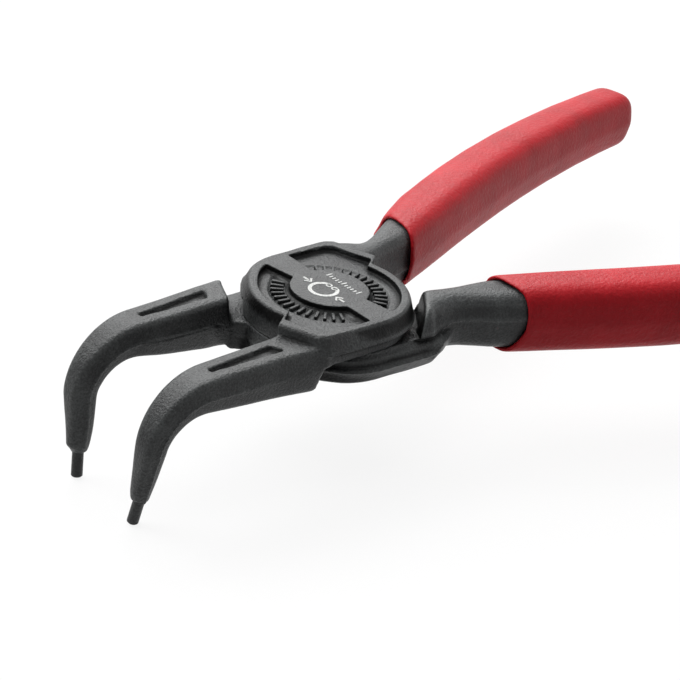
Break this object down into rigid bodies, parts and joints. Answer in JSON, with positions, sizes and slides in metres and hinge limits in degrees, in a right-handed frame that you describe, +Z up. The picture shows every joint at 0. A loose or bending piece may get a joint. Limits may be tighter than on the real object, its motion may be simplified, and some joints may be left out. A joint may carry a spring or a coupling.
{
  "type": "circlip pliers",
  "caption": "Bent-nose circlip pliers for internal rings: forged levers crossed in a riveted lap joint, round tip pins turned down at the noses, dipped plastic grips on bowed handles.",
  "frame": {"origin": "on the pivot axis, at the underside of the lap joint", "axes": "+X from the pivot to the handle ends, half way between the levers, +Z up along the pivot axis, away from the bent tips"},
  "size_m": [0.162, 0.0942, 0.0275],
  "materials": {
    "black_steel": "black phosphated forging, satin, fine grain",
    "tip_steel": "hardened wire, darkened, satin",
    "grip_red": "dipped PVC, red, fine orange peel"
  },
  "bodies": {
    "upper": {"upper_lever": "black_steel", "upper_tip": "tip_steel", "upper_grip": "grip_red", "pivot_rivet": "black_steel"},
    "lower": {"lower_lever": "black_steel", "lower_tip": "tip_steel", "lower_grip": "grip_red"}
  },
  "joints": [
    {"name": "pivot", "type": "hinge", "parent": "upper", "child": "lower", "pos_m": [0, 0, 0.0049], "axis": [0, 0, -1], "range_deg": [-16, 24]}
  ]
}
